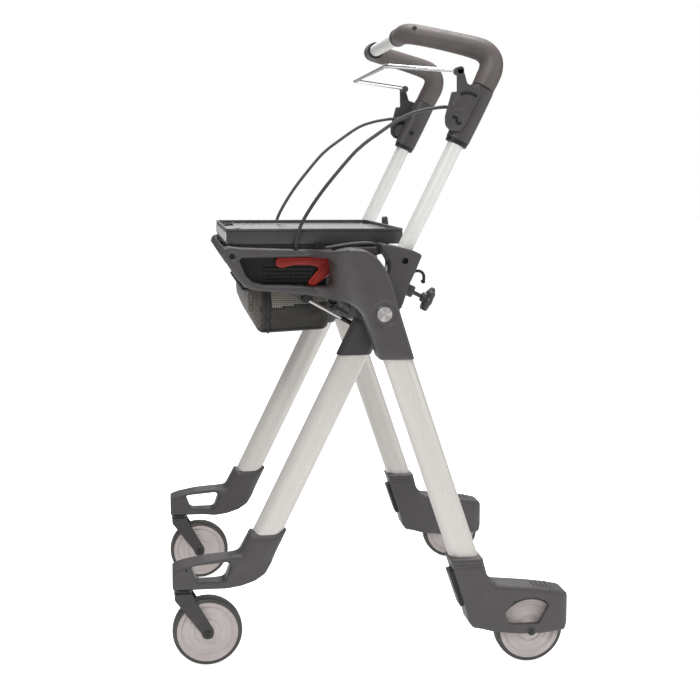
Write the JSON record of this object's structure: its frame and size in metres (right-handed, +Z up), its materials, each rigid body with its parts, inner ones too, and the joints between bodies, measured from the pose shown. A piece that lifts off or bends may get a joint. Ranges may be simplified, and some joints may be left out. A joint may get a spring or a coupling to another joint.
{
  "type": "rollator walker",
  "caption": "Folding walking frame on wheels with swivel casters, height-adjusting handlebar, squeeze brake loop, lift-off tray and fabric basket.",
  "frame": {"origin": "on the floor below the centre of the overall box, with the walker unfolded, the handle at mid height and the casters trailing", "axes": "+X towards the user (the walker travels towards -X), +Y to the user's right, +Z up"},
  "size_m": [0.566, 0.5372, 0.9093],
  "materials": {
    "casting": "fine-textured moulded glass-filled nylon, warm dark grey",
    "socket_black": "moulded, near black",
    "leg_silver": "satin anodised",
    "tube_white": "satin powder coat",
    "grip_rubber": "soft-touch thermoplastic elastomer, taupe grey",
    "housing_grey": "fine moulded texture",
    "chrome_wire": "polished",
    "stainless": "brushed",
    "wheel_grey": "moulded, pale warm grey",
    "tyre_grey": "soft polyurethane tread",
    "tray_charcoal": "glossy floor, fine-textured rim",
    "basket_fabric": "woven polyester with light mesh band",
    "lever_red": "moulded",
    "trim_black": "moulded",
    "cable_sheath": "ribbed sheath, satin",
    "sleeve_white": "acetal",
    "pad_rubber": "ribbed"
  },
  "bodies": {
    "front_frame": {"front_leg_left": "leg_silver", "front_leg_right": "leg_silver", "front_socket_left": "socket_black", "front_socket_right": "socket_black", "front_hub_left": "casting", "front_hub_right": "casting", "caster_arm_left": "casting", "caster_arm_right": "casting", "guide_sleeves": "sleeve_white", "bag_hooks": "trim_black", "strut_guides": "trim_black"},
    "rear_frame": {"side_arm_left": "casting", "side_arm_right": "casting", "rear_leg_left": "leg_silver", "rear_leg_right": "leg_silver", "rear_housing_left": "casting", "rear_housing_right": "casting", "adjuster_covers": "trim_black", "rear_axles": "trim_black", "main_cross_tube": "tube_white", "carry_bar": "trim_black", "pivot_bolts": "stainless", "strut_pins": "trim_black", "tray_rails": "trim_black", "basket_frame": "trim_black", "basket_body": "basket_fabric", "side_panels": "trim_black"},
    "handlebar": {"upper_tube_left": "tube_white", "upper_tube_right": "tube_white", "lever_housing_left": "housing_grey", "lever_housing_right": "housing_grey", "grip_left": "grip_rubber", "grip_right": "grip_rubber", "housing_screws": "trim_black", "cross_tube": "tube_white", "lever_screws": "trim_black", "brake_cables": "cable_sheath"},
    "brake_bar": {"brake_lever_left": "housing_grey", "brake_lever_right": "housing_grey", "brake_loop": "chrome_wire"},
    "tray": {"tray": "tray_charcoal"},
    "latch_lever": {"latch_lever": "lever_red"},
    "caster_left": {"caster_fork_left": "trim_black", "front_axle_left": "trim_black"},
    "front_wheel_left": {"front_wheel_left": "wheel_grey", "front_tyre_left": "tyre_grey"},
    "rear_wheel_left": {"rear_wheel_left": "wheel_grey", "rear_tyre_left": "tyre_grey"},
    "clamp_knob_left": {"clamp_knob_left": "trim_black"},
    "fold_strut_left": {"fold_strut_left": "stainless"},
    "brake_shoe_left": {"brake_shoe_left": "pad_rubber"},
    "caster_right": {"caster_fork_right": "trim_black", "front_axle_right": "trim_black"},
    "front_wheel_right": {"front_wheel_right": "wheel_grey", "front_tyre_right": "tyre_grey"},
    "rear_wheel_right": {"rear_wheel_right": "wheel_grey", "rear_tyre_right": "tyre_grey"},
    "clamp_knob_right": {"clamp_knob_right": "trim_black"},
    "fold_strut_right": {"fold_strut_right": "stainless"},
    "brake_shoe_right": {"brake_shoe_right": "pad_rubber"}
  },
  "joints": [
    {"name": "fold", "type": "hinge", "parent": "front_frame", "child": "rear_frame", "pos_m": [0.01, 0, 0.51], "axis": [0, 1, 0], "range_deg": [0, 37]},
    {"name": "height_slide", "type": "slide", "parent": "front_frame", "child": "handlebar", "axis": [0.4384, 0, 0.8988], "range_m": [-0.1, 0.05], "deforming": ["brake_cables"]},
    {"name": "brake_squeeze", "type": "hinge", "parent": "handlebar", "child": "brake_bar", "pos_m": [0.119, 0, 0.771], "axis": [0, 1, 0], "range_deg": [-12, 14]},
    {"name": "tray_lift", "type": "slide", "parent": "rear_frame", "child": "tray", "axis": [0, 0, 1], "range_m": [0, 0.06]},
    {"name": "latch_pull", "type": "hinge", "parent": "rear_frame", "child": "latch_lever", "pos_m": [-0.0465, -0.148, 0.572], "axis": [0, 1, 0], "range_deg": [0, 11]},
    {"name": "caster_swivel_left", "type": "hinge", "parent": "front_frame", "child": "caster_left", "pos_m": [-0.267, -0.193, 0.12], "axis": [0, 0, 1], "continuous": true},
    {"name": "front_wheel_spin_left", "type": "hinge", "parent": "caster_left", "child": "front_wheel_left", "pos_m": [-0.233, -0.193, 0.05], "axis": [0, 1, 0], "continuous": true},
    {"name": "rear_wheel_spin_left", "type": "hinge", "parent": "rear_frame", "child": "rear_wheel_left", "pos_m": [0.2268, -0.245, 0.05], "axis": [0, 1, 0], "continuous": true},
    {"name": "clamp_turn_left", "type": "hinge", "parent": "front_frame", "child": "clamp_knob_left", "pos_m": [0.02929, -0.189, 0.54955], "axis": [0.8988, 0, -0.4384], "range_deg": [0, 360]},
    {"name": "strut_pivot_left", "type": "hinge", "parent": "rear_frame", "child": "fold_strut_left", "pos_m": [-0.0865, -0.1655, 0.523], "axis": [0, 1, 0], "range_deg": [-6, 0.2]},
    {"name": "shoe_slide_left", "type": "slide", "parent": "rear_frame", "child": "brake_shoe_left", "axis": [0.9397, 0, -0.342], "range_m": [-0.0016, 0.0018]},
    {"name": "caster_swivel_right", "type": "hinge", "parent": "front_frame", "child": "caster_right", "pos_m": [-0.267, 0.193, 0.12], "axis": [0, 0, 1], "continuous": true},
    {"name": "front_wheel_spin_right", "type": "hinge", "parent": "caster_right", "child": "front_wheel_right", "pos_m": [-0.233, 0.193, 0.05], "axis": [0, 1, 0], "continuous": true},
    {"name": "rear_wheel_spin_right", "type": "hinge", "parent": "rear_frame", "child": "rear_wheel_right", "pos_m": [0.2268, 0.245, 0.05], "axis": [0, 1, 0], "continuous": true},
    {"name": "clamp_turn_right", "type": "hinge", "parent": "front_frame", "child": "clamp_knob_right", "pos_m": [0.02929, 0.189, 0.54955], "axis": [0.8988, 0, -0.4384], "range_deg": [0, 360]},
    {"name": "strut_pivot_right", "type": "hinge", "parent": "rear_frame", "child": "fold_strut_right", "pos_m": [-0.0865, 0.1655, 0.523], "axis": [0, 1, 0], "range_deg": [-6, 0.2]},
    {"name": "shoe_slide_right", "type": "slide", "parent": "rear_frame", "child": "brake_shoe_right", "axis": [0.9397, 0, -0.342], "range_m": [-0.0016, 0.0018]}
  ],
  "couplings": [
    {"joint": "strut_pivot_left", "follows": "fold", "ratio": -0.16},
    {"joint": "shoe_slide_left", "follows": "brake_squeeze", "m_per_rad": 0.0072},
    {"joint": "strut_pivot_right", "follows": "fold", "ratio": -0.16},
    {"joint": "shoe_slide_right", "follows": "brake_squeeze", "m_per_rad": 0.0072}
  ]
}
